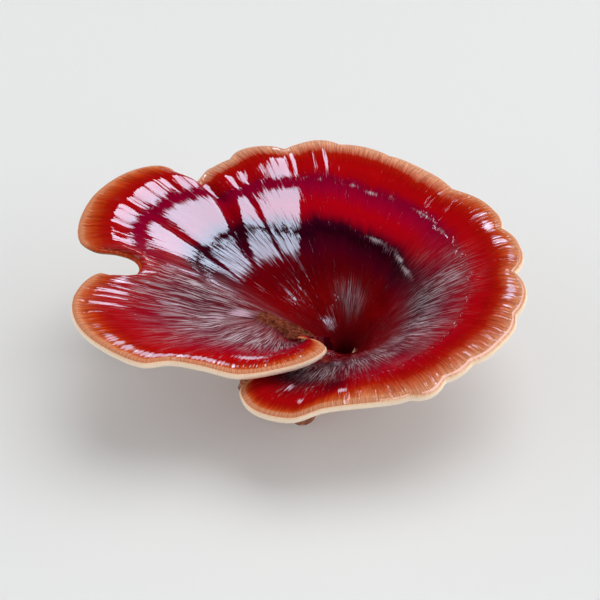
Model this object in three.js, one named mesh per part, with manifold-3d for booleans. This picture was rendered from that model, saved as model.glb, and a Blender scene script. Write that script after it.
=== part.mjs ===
// Reishi mushroom: one lacquered cap, wound like a spiral funnel round a deep throat, on a stout cut stem.
// Millimetres, +Z up. The origin is the centre of the flat cut foot, -Y is the front.
import * as THREE from 'three';
import { mergeVertices } from 'three/addons/utils/BufferGeometryUtils.js';
import Module from 'manifold-3d';

const wasm = await Module();
wasm.setup();

// ---------------------------------------------------------------- driving dimensions
const SECTIONS = 140;            // cross-sections of the cap, spaced evenly along its edge
const ROWS = 9;                  // growth rows of the relaxed net, throat to edge
const BEAD = 1.7;                // radius of the round growing edge
const BEAD_STEPS = 4;            // facets round that edge

const THROAT = new THREE.Vector3(12, 5, 15);   // centre of the throat's lip
const LIP_RADIUS = 6.2;
const LAP = 2;                   // the flesh first reaches this far inside the lip
const LAP_STEP = 0.4;            // the spiral's end stands this far proud of its start
const SEAM_TURN = -135 * THREE.MathUtils.DEG2RAD;   // where the spiral starts and ends on the lip

const TRUMPET = 1.65;            // 1 is a straight cone, more flares like a trumpet
const ROLL = 1.6;                // how far the last of the cap rolls over
const ROLL_START = 0.86;
const THIN = 2 * BEAD;           // thickness of the flesh at the edge
const THICK = 9;                 // and round the throat

const RIDGE_ROW = 2;             // the row of the net that carries the torn ridge of the front flap
const RIDGE_RUN = 36;            // length of edge over which the ridge rises out of the funnel
const RIDGE_THICK = 15;          // flesh under the ridge
const FLAP_DISH = 1.5;           // hollow of the flap between its ridge and its edge

// The outer edge, from the root of the lower front lobe, anticlockwise round the funnel,
// in and out of the bay on the left, and along the flap that ends above the place where it began.
const EDGE = [
  [4, -4, 17], [0, -9, 19], [-7, -14, 21.5], [-17, -23, 24.5], [-24, -34, 26.5], [-19.5, -46, 28],
  [-7, -51.5, 29], [4, -50, 32], [22, -48, 33], [37, -47, 35], [50, -38, 38], [60, -30, 40],
  [69, -19, 43], [73, -6, 46], [74, 9, 48], [71, 25, 49], [64, 40, 50], [55, 50, 50], [45, 59, 51],
  [31, 70, 52], [16, 78, 52], [6, 79.5, 53], [-6, 79, 52], [-17, 77.5, 52], [-29, 75, 50.5],
  [-39, 68, 47], [-46, 65, 47], [-57, 66, 50], [-69, 61, 50], [-79, 47, 50], [-83, 32, 49],
  [-82, 20, 48], [-76, 14, 47.5], [-68, 13.5, 46.5], [-62.5, 12, 45],
  [-60.5, 8.5, 44],
  [-62.5, 5, 43], [-67.5, 5.5, 43.5], [-73.5, 6, 44.5], [-79, 0, 44], [-81, -11, 44], [-78, -21, 43],
  [-70, -30, 42], [-56, -37, 40], [-46, -35, 39], [-37, -36, 38], [-24, -37, 35], [-8, -31, 33],
  [1, -25, 32], [5, -19, 31.5], [2, -14, 31], [-4, -10.5, 29.5],
].map((p) => new THREE.Vector3(...p));
const BAY_POINT = 35;            // the innermost point of the bay

// The torn ridge, from the middle of the funnel wall to the tip of the flap.
const RIDGE = [
  [-17, 5, 27], [-18, 1, 28], [-12, -3, 29], [-6, -8, 29.5],
].map((p) => new THREE.Vector3(...p));

// Small clefts in the edge: distance along it, depth and half width.
const CLEFTS = [
  [180, 3.2, 11], [205, 2, 9], [286, 1.8, 11], [308, 3.2, 12], [331, 1.8, 9], [347, 4, 9],
];

// Rings of the stem, foot first: height of the middle, rise towards the flap, centre, radius,
// and how far the front buttress and the shoulder under the flap stand out of it.
const STEM_RINGS = [
  { z: 0, rise: 0, x: -3, y: 0, radius: 13.5, buttress: 10.5, shoulder: 0 },
  { z: 2.5, rise: 0, x: -3, y: 0, radius: 13.9, buttress: 10, shoulder: 0 },
  { z: 5, rise: 0.4, x: 0, y: 1, radius: 16.5, buttress: 7, shoulder: 1 },
  { z: 8.5, rise: 2, x: 2, y: 2, radius: 18, buttress: 3, shoulder: 6 },
  { z: 14.5, rise: 5.5, x: 1, y: 3, radius: 17, buttress: 0, shoulder: 11 },
  { z: 17, rise: 5.5, x: 1, y: 3, radius: 14, buttress: 0, shoulder: 9 },
];
const STEM_SIDES = 48;
const BUTTRESS_TURN = -92 * THREE.MathUtils.DEG2RAD;
const BUTTRESS_SPREAD = 15 * THREE.MathUtils.DEG2RAD;
const SHOULDER_TURN = -138 * THREE.MathUtils.DEG2RAD;
const SHOULDER_SPREAD = 30 * THREE.MathUtils.DEG2RAD;
const STEM_LUMPS = 0.9;          // height of the bark's lumps
const FOOT_BACK = 5;             // the stem is fuller behind ...
const FOOT_FRONT = 2;            // ... and flatter in front

// The root strand: torn tissue that runs from the tip of the flap down to the lip of the throat.
const STRAND = {
  top: new THREE.Vector3(-10, -9, 26),
  bottom: new THREE.Vector3(7, 0, 13.5),
  radius: 6,
  lumps: 0.3,
};

// The pit of the throat: radius and height from its floor up past its lip.
const PIT = [[0, 8.5], [3.4, 9], [4.9, 11.2], [LIP_RADIUS - 0.3, 14.3], [LIP_RADIUS - 0.3, 25], [0, 25]];
const PIT_SIDES = 28;

// How the net of the cap is settled.
const SEAM_LAP = 3 * THREE.MathUtils.DEG2RAD;   // the spiral's end laps over its start
const FAN_PASSES = 260;
const NET_PASSES = 400;
const CALM_PASSES = 60;

// ---------------------------------------------------------------- curves along the edge
const smooth = (x) => THREE.MathUtils.smoothstep(x, 0, 1);

// Distance of each point from the first, along straight chords.
function chordLengths(points) {
  const lengths = [0];
  for (let i = 1; i < points.length; i += 1) {
    lengths.push(lengths[i - 1] + points[i].distanceTo(points[i - 1]));
  }
  return lengths;
}

// A smooth curve through points, read at the distance s: a cubic Hermite between each pair.
function hermite(points, lengths, s) {
  const last = points.length - 1;
  let i = lengths.findIndex((length) => length > s) - 1;
  if (i < 0) i = last - 1;
  const slope = (k) => {
    const a = Math.max(k - 1, 0);
    const b = Math.min(k + 1, last);
    return points[b].clone().sub(points[a]).divideScalar(lengths[b] - lengths[a]);
  };
  const span = lengths[i + 1] - lengths[i];
  const t = THREE.MathUtils.clamp((s - lengths[i]) / span, 0, 1);
  return points[i].clone().multiplyScalar(2 * t ** 3 - 3 * t ** 2 + 1)
    .addScaledVector(slope(i), span * (t ** 3 - 2 * t ** 2 + t))
    .addScaledVector(points[i + 1], 3 * t ** 2 - 2 * t ** 3)
    .addScaledVector(slope(i + 1), span * (t ** 3 - t ** 2));
}

// Evens out a list of numbers, its two ends held.
function evenOut(values, passes) {
  let list = values;
  for (let pass = 0; pass < passes; pass += 1) {
    list = list.map((v, i) => (
      i === 0 || i === list.length - 1 ? v : (list[i - 1] + 2 * v + list[i + 1]) / 4
    ));
  }
  return list;
}

const edgeLengths = chordLengths(EDGE);
const edgeLength = edgeLengths.at(-1);
const bay = edgeLengths[BAY_POINT];
const stations = Array.from({ length: SECTIONS }, (_, i) => (edgeLength * i) / (SECTIONS - 1));

// The outermost line of the edge, with its clefts.
function edgeAt(s) {
  const point = hermite(EDGE, edgeLengths, s);
  const cleft = CLEFTS.reduce((depth, [at, deep, half]) => (
    depth + deep * Math.max(0, 1 - Math.abs(s - at) / half) ** 2
  ), 0);
  return point.addScaledVector(outwardAt(s), -cleft);
}

// The level direction that points out of the cap at s.
function outwardAt(s) {
  const step = 0.5;
  const ahead = hermite(EDGE, edgeLengths, Math.min(s + step, edgeLength));
  const behind = hermite(EDGE, edgeLengths, Math.max(s - step, 0));
  return new THREE.Vector3(ahead.y - behind.y, behind.x - ahead.x, 0).normalize();
}

// ---------------------------------------------------------------- the net of the cap, seen from above
// Turns of the ribs round the throat, one for each station, evened out so that they fan.
function ribTurns(edge) {
  const turns = [SEAM_TURN];
  for (let i = 1; i < SECTIONS; i += 1) {
    const seen = Math.atan2(edge[i].y - THROAT.y, edge[i].x - THROAT.x);
    const winds = Math.round((turns[i - 1] - seen) / (2 * Math.PI));
    turns.push(seen + winds * 2 * Math.PI);
  }
  turns[SECTIONS - 1] = SEAM_TURN + 2 * Math.PI + SEAM_LAP;
  return evenOut(turns, FAN_PASSES);
}

// Its outer row is the edge, its inner row the lip, and one row of the flap is held on the ridge.
// Every other knot moves to the mean of its four neighbours, as a stretched net would settle.
function relaxedNet(edge, ridge) {
  const lip = ribTurns(edge).map((turn) => onCircle(turn, LIP_RADIUS));
  let net = stations.map((_, i) => Array.from({ length: ROWS }, (__, j) => (
    lip[i].clone().lerp(edge[i], j / (ROWS - 1))
  )));
  for (let pass = 0; pass < NET_PASSES; pass += 1) {
    net = net.map((row, i) => row.map((knot, j) => {
      if (ridge[i] && j === RIDGE_ROW) return ridge[i];
      if (j === 0 || j === ROWS - 1 || i === 0 || i === SECTIONS - 1) return knot;
      return net[i - 1][j].clone().add(net[i + 1][j]).add(row[j - 1]).add(row[j + 1])
        .multiplyScalar(0.25);
    }));
  }
  return net;
}

const onCircle = (turn, radius) => new THREE.Vector3(
  THROAT.x + radius * Math.cos(turn),
  THROAT.y + radius * Math.sin(turn),
  THROAT.z,
);

const ridgeLengths = chordLengths(RIDGE);
const edge = stations.map((s) => edgeAt(s).addScaledVector(outwardAt(s), -BEAD));
const ridge = stations.map((s) => {
  const along = (s - bay - RIDGE_RUN) / (edgeLength - bay - RIDGE_RUN);
  return along < 0 ? null : hermite(RIDGE, ridgeLengths, along * ridgeLengths.at(-1));
});
const net = relaxedNet(edge, ridge);
const calmHeights = evenOut(edge.map((p) => p.z), CALM_PASSES);

// A point of the net between its rows, v = 0 at the lip and 1 at the edge.
function netAt(i, v) {
  const j = Math.min(Math.floor(v * (ROWS - 1)), ROWS - 2);
  return net[i][j].clone().lerp(net[i][j + 1], v * (ROWS - 1) - j);
}

// ---------------------------------------------------------------- heights and flesh
const ridgeV = RIDGE_ROW / (ROWS - 1);
const flapShare = (i) => smooth((stations[i] - bay) / RIDGE_RUN);

// Height of the lacquered face.
function topHeight(i, v) {
  const crown = edge[i].z + BEAD;
  const calm = calmHeights[i] + BEAD;
  const roll = ROLL * (v ** 3 - Math.max(0, (v - ROLL_START) / (1 - ROLL_START)) ** 2);
  const funnel = THROAT.z + (calm - THROAT.z) * (1 - (1 - v) ** TRUMPET);
  const crest = (ridge[i] ?? RIDGE[0]).z;
  const u = (v - ridgeV) / (1 - ridgeV);
  const flap = u < 0
    ? THREE.MathUtils.lerp(THROAT.z + LAP_STEP, crest, Math.sin((v / ridgeV) * (Math.PI / 2)))
    : THREE.MathUtils.lerp(crest, calm, u) - FLAP_DISH * Math.sin(Math.PI * u);
  const share = flapShare(i);
  return funnel * (1 - share) + flap * share + (crown - calm) * v ** 3 + roll;
}

// Upright thickness of the flesh.
function flesh(i, v) {
  const funnel = THIN + (THICK - THIN) * (1 - v) ** 1.3;
  const u = (v - ridgeV) / (1 - ridgeV);
  const flap = u < 0
    ? THREE.MathUtils.lerp(THICK, RIDGE_THICK, v / ridgeV)
    : THIN + (RIDGE_THICK - THIN) * (1 - u) ** 2;
  return THREE.MathUtils.lerp(funnel, flap, flapShare(i));
}

// ---------------------------------------------------------------- closed bodies
const TOP_ROWS = [0, 0.0625, 0.125, 0.25, 0.375, 0.5, 0.625, 0.75, 0.875, 0.94, 1];
const UNDER_ROWS = [1, 0.875, 0.7, 0.5, 0.3, 0.125, 0];

// One cross-section of the cap, as a closed loop: throat wall, face, round edge, underside.
function capSection(i) {
  const turn = Math.atan2(net[i][0].y - THROAT.y, net[i][0].x - THROAT.x);
  const step = LAP_STEP * flapShare(i);
  const wall = onCircle(turn, LIP_RADIUS - LAP - step);
  const loop = [wall.clone().setZ(topHeight(i, 0) - THICK), wall.setZ(topHeight(i, 0))];
  for (const v of TOP_ROWS) loop.push(netAt(i, v).setZ(topHeight(i, v)));
  const outward = outwardAt(stations[i]);
  for (let k = 1; k < BEAD_STEPS; k += 1) {
    const a = Math.PI * (0.5 - k / BEAD_STEPS);
    loop.push(edge[i].clone().addScaledVector(outward, BEAD * Math.cos(a))
      .add(new THREE.Vector3(0, 0, BEAD * Math.sin(a))));
  }
  for (const v of UNDER_ROWS) loop.push(netAt(i, v).setZ(topHeight(i, v) - flesh(i, v)));
  return loop;
}

// A solid through a list of closed loops with equal counts, its ends filled with the given
// triangles of a loop, which turn the way that the first end faces.
function loft(loops, endTriangles) {
  const count = loops[0].length;
  const positions = loops.flat().flatMap((p) => p.toArray());
  const indices = [];
  for (let i = 0; i + 1 < loops.length; i += 1) {
    for (let j = 0; j < count; j += 1) {
      const a = i * count + j;
      const b = i * count + ((j + 1) % count);
      indices.push(a, b, a + count, b, b + count, a + count);
    }
  }
  const last = (loops.length - 1) * count;
  for (const [a, b, c] of endTriangles) indices.push(a, c, b, last + a, last + b, last + c);
  const geometry = new THREE.BufferGeometry();
  geometry.setAttribute('position', new THREE.Float32BufferAttribute(positions, 3));
  geometry.setIndex(indices);
  return geometry;
}

// A stretch of the cap between two of its sections. An end is filled with rungs from its face to
// its underside.
function capStretch(first, last) {
  const loops = [];
  for (let i = first; i <= last; i += 1) loops.push(capSection(i));
  const count = loops[0].length;
  const rungs = [];
  for (let high = 1, low = count; high < low - 1; high += 1, low -= 1) {
    rungs.push([low % count, high, high + 1]);
    if (low - 1 > high + 1) rungs.push([low % count, high + 1, low - 1]);
  }
  return loft(loops, rungs);
}

// How far a point of the stem's side stands out, for one bulge.
function bulge(turn, at, spread) {
  const off = Math.atan2(Math.sin(turn - at), Math.cos(turn - at));
  return Math.exp(-((off / spread) ** 2));
}

function stemRing(ring, k) {
  return Array.from({ length: STEM_SIDES }, (_, j) => {
    const turn = (2 * Math.PI * j) / STEM_SIDES;
    const lump = STEM_LUMPS * Math.sin(5 * turn + 2 * k) * Math.cos(3 * turn - k);
    const radius = ring.radius + lump
      + FOOT_BACK * Math.max(0, Math.sin(turn)) + FOOT_FRONT * Math.min(0, Math.sin(turn))
      + ring.buttress * bulge(turn, BUTTRESS_TURN, BUTTRESS_SPREAD)
      + ring.shoulder * bulge(turn, SHOULDER_TURN, SHOULDER_SPREAD);
    return new THREE.Vector3(
      ring.x + radius * Math.cos(turn),
      ring.y + radius * Math.sin(turn),
      ring.z - ring.rise * Math.cos(turn),
    );
  });
}

function stem() {
  const rings = STEM_RINGS.map(stemRing);
  const outline = rings[0].map((p) => new THREE.Vector2(p.x, p.y));
  return loft(rings, THREE.ShapeUtils.triangulateShape(outline, []));
}

function strand() {
  const along = STRAND.bottom.clone().sub(STRAND.top);
  const middle = STRAND.top.clone().addScaledVector(along, 0.5);
  const lean = new THREE.Quaternion().setFromUnitVectors(
    new THREE.Vector3(1, 0, 0),
    along.clone().normalize(),
  );
  const ball = new THREE.IcosahedronGeometry(1, 4);
  const place = ball.attributes.position;
  for (let k = 0; k < place.count; k += 1) {
    const p = new THREE.Vector3().fromBufferAttribute(place, k);
    const lump = STRAND.lumps * Math.sin(5 * p.x + 3 * p.y) * Math.cos(4 * p.z - 2 * p.x);
    const radius = STRAND.radius + lump;
    p.set((p.x * along.length()) / 2, p.y * radius, p.z * radius);
    p.applyQuaternion(lean).add(middle);
    place.setXYZ(k, p.x, p.y, p.z);
  }
  return ball;
}

function pit() {
  const profile = PIT.map(([radius, z]) => new THREE.Vector2(radius, z));
  return new THREE.LatheGeometry(profile, PIT_SIDES)
    .rotateX(Math.PI / 2)
    .translate(THROAT.x, THROAT.y, 0);
}

// ---------------------------------------------------------------- joining
function solid(geometry) {
  geometry.deleteAttribute('normal');
  geometry.deleteAttribute('uv');
  const merged = mergeVertices(geometry);
  return new wasm.Manifold(new wasm.Mesh({
    numProp: 3,
    vertProperties: merged.attributes.position.array,
    triVerts: new Uint32Array(merged.index.array),
  }));
}

function toGeometry(manifold) {
  const { vertProperties, triVerts } = manifold.getMesh();
  const geometry = new THREE.BufferGeometry();
  geometry.setAttribute('position', new THREE.BufferAttribute(vertProperties, 3));
  geometry.setIndex(new THREE.BufferAttribute(triVerts, 1));
  geometry.computeVertexNormals();
  return geometry;
}

const middle = Math.floor(SECTIONS / 2);
const joined = solid(capStretch(0, middle))
  .add(solid(capStretch(middle, SECTIONS - 1)))
  .add(solid(stem()))
  .add(solid(strand()))
  .subtract(solid(pit()));

// The joins can leave a crumb smaller than a grain of sand: only the largest body is kept.
const body = joined.decompose().reduce((a, b) => (a.volume() > b.volume() ? a : b));

const lacquer = new THREE.MeshStandardMaterial({ color: 0x8c1a14, roughness: 0.25, metalness: 0 });
const fruitingBody = new THREE.Mesh(toGeometry(body), lacquer);
fruitingBody.name = 'fruiting_body';

const mushroom = new THREE.Group();
mushroom.add(fruitingBody);

export default mushroom;
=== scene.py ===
# %% [markdown]
# # Reishi mushroom
# A reishi is a bracket fungus. Its cap grows outwards from the stem, a little at the edge at a time,
# so everything on it follows two directions: along the growing edge, and from the throat out to it.
# The lesson builds the cap on those two directions, and later paints its finish on them too.

import math

import bmesh
import bpy
import numpy as np
from mathutils import Matrix, Vector, noise


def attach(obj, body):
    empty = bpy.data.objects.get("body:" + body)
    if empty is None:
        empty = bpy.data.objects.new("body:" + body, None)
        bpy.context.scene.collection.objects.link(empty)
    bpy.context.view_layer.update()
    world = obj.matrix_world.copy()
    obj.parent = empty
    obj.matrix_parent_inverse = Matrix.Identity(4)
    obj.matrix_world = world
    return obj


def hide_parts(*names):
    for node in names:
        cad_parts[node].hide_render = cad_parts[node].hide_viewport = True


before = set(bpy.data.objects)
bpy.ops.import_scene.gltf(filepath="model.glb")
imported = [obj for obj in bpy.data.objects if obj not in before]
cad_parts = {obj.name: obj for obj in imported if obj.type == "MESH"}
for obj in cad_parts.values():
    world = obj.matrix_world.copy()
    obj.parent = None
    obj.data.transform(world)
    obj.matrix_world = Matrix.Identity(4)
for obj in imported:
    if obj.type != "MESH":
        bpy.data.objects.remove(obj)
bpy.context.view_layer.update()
MM = 0.001

# %% [markdown]
# ## The growing edge
# The real cap is one sheet wound like a spiral staircase: its edge starts at the root of the low
# front lobe, runs anticlockwise round the right, back and left, dips in and out of a bay, and ends at
# the tip of a flap above the place where it began. A few dozen points give that line, and a cubic
# curve through them gives every place between. The points are in millimetres from the cut foot.

# %% Points of the edge
EDGE = np.array([
    (4, -4, 17), (0, -9, 19), (-7, -14, 21.5), (-17, -23, 24.5), (-24, -34, 26.5), (-19.5, -46, 28),
    (-7, -51.5, 29), (4, -50, 32), (22, -48, 33), (37, -47, 35), (50, -38, 38), (60, -30, 40),
    (69, -19, 43), (73, -6, 46), (74, 9, 48), (71, 25, 49), (64, 40, 50), (55, 50, 50), (45, 59, 51),
    (31, 70, 52), (16, 78, 52), (6, 79.5, 53), (-6, 79, 52), (-17, 77.5, 52), (-29, 75, 50.5),
    (-39, 68, 47), (-46, 65, 47), (-57, 66, 50), (-69, 61, 50), (-79, 47, 50), (-83, 32, 49),
    (-82, 20, 48), (-76, 14, 47.5), (-68, 13.5, 46.5), (-62.5, 12, 45),
    (-60.5, 8.5, 44),
    (-62.5, 5, 43), (-67.5, 5.5, 43.5), (-73.5, 6, 44.5), (-79, 0, 44), (-81, -11, 44),
    (-78, -21, 43), (-70, -30, 42), (-56, -37, 40), (-46, -35, 39), (-37, -36, 38), (-24, -37, 35),
    (-8, -31, 33), (1, -25, 32), (5, -19, 31.5), (2, -14, 31), (-4, -10.5, 29.5),
], float)
BAY_POINT = 35
RIDGE = np.array([(-17, 5, 27), (-18, 1, 28), (-12, -3, 27.5), (-6, -8, 24)], float)
THROAT = np.array([12, 5, 15], float)
LIP_RADIUS = 6.2
BEAD = 1.7                       # radius of the round pale edge


# %% A smooth curve through points
def chord_lengths(points):
    steps = np.linalg.norm(np.diff(points, axis=0), axis=1)
    return np.concatenate([[0], np.cumsum(steps)])


def curve_at(points, s):
    """Points of the cubic Hermite curve at the distances s along it."""
    lengths = chord_lengths(points)
    slopes = np.empty_like(points)
    slopes[1:-1] = (points[2:] - points[:-2]) / (lengths[2:] - lengths[:-2])[:, None]
    slopes[0] = (points[1] - points[0]) / lengths[1]
    slopes[-1] = (points[-1] - points[-2]) / (lengths[-1] - lengths[-2])
    s = np.clip(s, 0, lengths[-1])
    i = np.clip(np.searchsorted(lengths, s, side="right") - 1, 0, len(points) - 2)
    span = (lengths[i + 1] - lengths[i])[:, None]
    t = (s - lengths[i])[:, None] / span
    return (
        points[i] * (2 * t**3 - 3 * t**2 + 1) + slopes[i] * span * (t**3 - 2 * t**2 + t)
        + points[i + 1] * (3 * t**2 - 2 * t**3) + slopes[i + 1] * span * (t**3 - t**2)
    )


edge_length = chord_lengths(EDGE)[-1]
bay = chord_lengths(EDGE)[BAY_POINT]
print("edge", round(edge_length), "mm long, bay at", round(bay), "mm")

# %% [markdown]
# Old caps are notched where the edge grew unevenly. Each cleft is a distance along the edge, a depth
# and a half width, and it pulls the edge back towards the throat. The same list later starts the
# folds that run from each cleft down the wall of the funnel.

# %% Clefts of the edge
CLEFTS = np.array([
    (108, 1.2, 8), (123, 1.5, 8), (134, 1.0, 8), (160, 1.5, 9), (180, 3.2, 11), (205, 2.0, 9),
    (235, 1.6, 12), (265, 0.8, 10), (286, 1.8, 11), (308, 3.2, 12), (331, 1.8, 9), (347, 6.5, 8),
], float)
CLEFT_SCALE = 1.3                # the edge gives way this much more than the depth listed
print(len(CLEFTS), "clefts, the deepest", round(CLEFT_SCALE * CLEFTS[:, 1].max(), 1), "mm")


def outward_at(s):
    """The level direction out of the cap at s."""
    ahead = curve_at(EDGE, np.minimum(s + 0.5, edge_length))
    behind = curve_at(EDGE, np.maximum(s - 0.5, 0))
    across = np.stack([(ahead - behind)[:, 1], -(ahead - behind)[:, 0], 0 * s], axis=1)
    return across / np.linalg.norm(across, axis=1)[:, None]


def edge_at(s):
    """The middle of the round edge at s, clefts included."""
    pull = np.zeros_like(s)
    for at, deep, half in CLEFTS:
        pull += CLEFT_SCALE * deep * np.maximum(0, 1 - np.abs(s - at) / half) ** 2
    return curve_at(EDGE, s) - outward_at(s) * (pull + BEAD)[:, None]


# %% [markdown]
# ## A net over the cap
# Between edge and throat the sheet has no corners. One way to fill it is a net tied to the edge and to
# the lip of the throat: if every knot keeps moving to the mean of its four neighbours, the net
# settles as a stretched one would, and its cords fan out as the fibres of the cap do. The flap has
# a torn ridge on its inner side, so one row of knots is tied to that ridge too.

# %% The settled net
NET_SECTIONS = 211
NET_ROWS = 17
RIDGE_ROW = 4
RIDGE_RUN = 36                   # mm of edge over which the ridge rises out of the funnel wall
SEAM_TURN = math.radians(-135)
SEAM_LAP = math.radians(3)


def even_out(values, passes):
    """Evens out a list of numbers, its two ends held."""
    values = values.copy()
    for _ in range(passes):
        values[1:-1] = (values[:-2] + 2 * values[1:-1] + values[2:]) / 4
    return values


def smooth_step(x):
    x = np.clip(x, 0, 1)
    return x * x * (3 - 2 * x)


def rib_turns(stations):
    """Turn of each rib round the throat, so that the ribs fan evenly."""
    rim = edge_at(stations)
    turns = np.unwrap(np.arctan2(rim[:, 1] - THROAT[1], rim[:, 0] - THROAT[0]))
    turns[0] = SEAM_TURN
    turns[-1] = SEAM_TURN + 2 * math.pi + SEAM_LAP
    return even_out(turns, 590)


def settled_net():
    stations = np.linspace(0, edge_length, NET_SECTIONS)
    turns = rib_turns(stations)
    circle = np.stack([np.cos(turns), np.sin(turns), 0 * turns], axis=1)
    lip = (THROAT + LIP_RADIUS * circle)[:, None]
    rim = edge_at(stations)[:, None]
    v = np.linspace(0, 1, NET_ROWS)[None, :, None]
    net = (lip * (1 - v) + rim * v)[:, :, :2]
    along = (stations - bay - RIDGE_RUN) / (edge_length - bay - RIDGE_RUN)
    torn = along >= 0
    ridge = curve_at(RIDGE, along[torn] * chord_lengths(RIDGE)[-1])
    for _ in range(900):
        net[torn, RIDGE_ROW] = ridge[:, :2]
        net[1:-1, 1:-1] = (net[:-2, 1:-1] + net[2:, 1:-1] + net[1:-1, :-2] + net[1:-1, 2:]) / 4
    net[torn, RIDGE_ROW] = ridge[:, :2]
    crest = np.full(NET_SECTIONS, RIDGE[0, 2])
    crest[torn] = ridge[:, 2]
    return stations, turns, net, crest


stations, turns, net, crest = settled_net()
calm_heights = even_out(edge_at(stations)[:, 2], 130)
print("net of", net.shape[0], "ribs by", net.shape[1], "rows settled")


# %% [markdown]
# The net is coarse. Reading it with a cubic between the knots, in both directions, makes a surface
# that is smooth enough for lacquer, which shows every kink in its reflections.

# %% Reading the net anywhere
def knot_weights(x, count):
    """Four knots and their Catmull-Rom weights for the places x, 0 to count - 1."""
    i = np.clip(np.floor(x).astype(int), 0, count - 2)
    t = x - i
    weights = [
        -0.5 * t + t**2 - 0.5 * t**3,
        1 - 2.5 * t**2 + 1.5 * t**3,
        0.5 * t + 2 * t**2 - 1.5 * t**3,
        -0.5 * t**2 + 0.5 * t**3,
    ]
    knots = [np.clip(i + k, 0, count - 1) for k in (-1, 0, 1, 2)]
    return list(zip(knots, weights))


def net_at(s, v):
    """Plan position at s mm along the edge and share v of the way from the lip to the edge."""
    total = np.zeros((len(s), 2))
    rows = knot_weights(v * (NET_ROWS - 1), NET_ROWS)
    for i, across in knot_weights(s / edge_length * (NET_SECTIONS - 1), NET_SECTIONS):
        for j, down in rows:
            total += net[i, j] * (across * down)[:, None]
    return total


# %% [markdown]
# ## Seasons of growth
# The cap stops growing and starts again, and each stop leaves a ring. Two of them show: one half way
# down the wall and one near the margin. A table says where they lie, and a warped share called the
# season has each ring at one fixed value, so that steps and colour bands can follow the rings.

# %% The two rings
# mm along the edge, share at the inner ring, share at the outer ring, height of the inner ledge in mm
SEASONS = np.array([
    (0, 0.52, 0.80, 0.2), (100, 0.45, 0.76, 0.3), (185, 0.39, 0.70, 0.5), (217, 0.39, 0.70, 1.1),
    (257, 0.43, 0.70, 1.4), (295, 0.46, 0.72, 0.7), (320, 0.48, 0.76, 0.4), (347, 0.54, 0.79, 0.5),
    (389, 0.54, 0.80, 0.5), (440, 0.58, 0.80, 0.3), (477, 0.55, 0.80, 0.3), (510, 0.52, 0.80, 0.3),
    (600, 0.60, 0.80, 0.1),
])
INNER_RING, OUTER_RING = 0.5, 0.78


def season_at(s, v):
    """Share of the way out, bent so that each ring has one value all round."""
    wander = 0.008 * np.sin(s / 9) + 0.005 * np.sin(s / 3.7 + 1)
    inner = np.interp(s, SEASONS[:, 0], SEASONS[:, 1]) + wander
    outer = np.interp(s, SEASONS[:, 0], SEASONS[:, 2]) + wander
    low = v / inner * INNER_RING
    middle = INNER_RING + (v - inner) / (outer - inner) * (OUTER_RING - INNER_RING)
    high = OUTER_RING + (v - outer) / (1 - outer) * (1 - OUTER_RING)
    return np.where(v < inner, low, np.where(v < outer, middle, high))


def bell(x, middle, half, power=2):
    """1 in the middle and nothing far to both sides. A power of 4 gives a flatter top."""
    return np.exp(-(((x - middle) / half) ** power))


def between(x, start, end, fade_in, fade_out):
    """1 between start and end, with soft ends that lie inside them."""
    return smooth_step((x - start) / fade_in) * smooth_step((end - x) / fade_out)


def left_wall_at(s):
    """1 on the left wall, from the back to the bay."""
    return between(s, 296, 446, 10, 10)


# %% Ledges
LEDGE_RISE = 0.012               # share of the season over which a ledge rises
SEAM_V = 0.972                   # share where the round edge parts from the face
PILLOW_SEASON = 0.885            # middle of the swelling beyond the outer ring


def ledge(off, run):
    """A step with a groove at its foot: it rises fast to the ring and sinks back over the run after it."""
    rise = bell(np.minimum(off, 0), 0, LEDGE_RISE)
    sink = np.exp(-np.maximum(off, 0) / run)
    return rise * sink - 0.35 * bell(off, -LEDGE_RISE, LEDGE_RISE / 2)


def rings_at(s, v):
    """Height in mm of the ledges where growth stopped and began again, and of the seam of the edge."""
    season = season_at(s, v)
    inner_height = np.interp(s, SEASONS[:, 0], SEASONS[:, 3])
    height = inner_height * ledge(season - INNER_RING, 0.06)
    height += 0.35 * ledge(season - OUTER_RING, 0.05)
    height -= 0.30 * bell(v, SEAM_V, 0.006)
    # A groove runs along the inner ring of the left wall, and a broad crease along that of the flap.
    height -= 0.55 * left_wall_at(s) * bell(season, INNER_RING, 0.009)
    height -= 0.9 * between(s, 448, 545, 12, 20) * bell(season, INNER_RING, 0.045)
    # The last season's growth swells like a pillow on the left wall.
    height += 0.9 * between(s, 300, 446, 20, 16) * bell(season, PILLOW_SEASON, 0.045)
    return height


print("rings at seasons", INNER_RING, "and", OUTER_RING, "with ledges up to", SEASONS[:, 3].max(), "mm")

# %% [markdown]
# ## Folds
# From each cleft a short fold runs in from the margin, and shallow ones wave the face between them.
# Two longer ones pleat the back wall and drift sideways as they sink to the throat. A fold is a place
# and a depth at the edge, a half width there, the share where it fades out, and how far it drifts.

# %% Folds
DRIFT_V = 0.88                   # share below which the long folds drift
FOLDS = [(at, 0.35 * min(deep, 4), 0.4 * half, 0.72, 0) for at, deep, half in CLEFTS]
FOLDS += [
    (346, 2.4, 3.8, 0.33, 125), (388, 0.9, 3.4, 0.40, 75), (337, 0.45, 1.6, 0.52, 10),
    (366, 0.5, 2.2, 0.70, 0), (405, 0.6, 3.0, 0.72, 0), (420, 0.5, 2.5, 0.75, 0),
    (150, 0.5, 3.0, 0.60, 0), (170, 0.6, 3.0, 0.55, 0), (192, 0.8, 3.0, 0.55, 20),
    (212, 0.5, 2.4, 0.62, 0), (225, 0.7, 2.5, 0.60, 10), (248, 0.5, 3.0, 0.72, 0),
    (460, 0.5, 3.0, 0.55, 0), (482, 0.7, 4.0, 0.60, 0), (505, 0.6, 3.0, 0.70, 0),
    (530, 0.5, 2.6, 0.75, 0), (560, 0.4, 2.4, 0.70, 0), (60, 0.5, 3.0, 0.60, 0),
]


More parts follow.
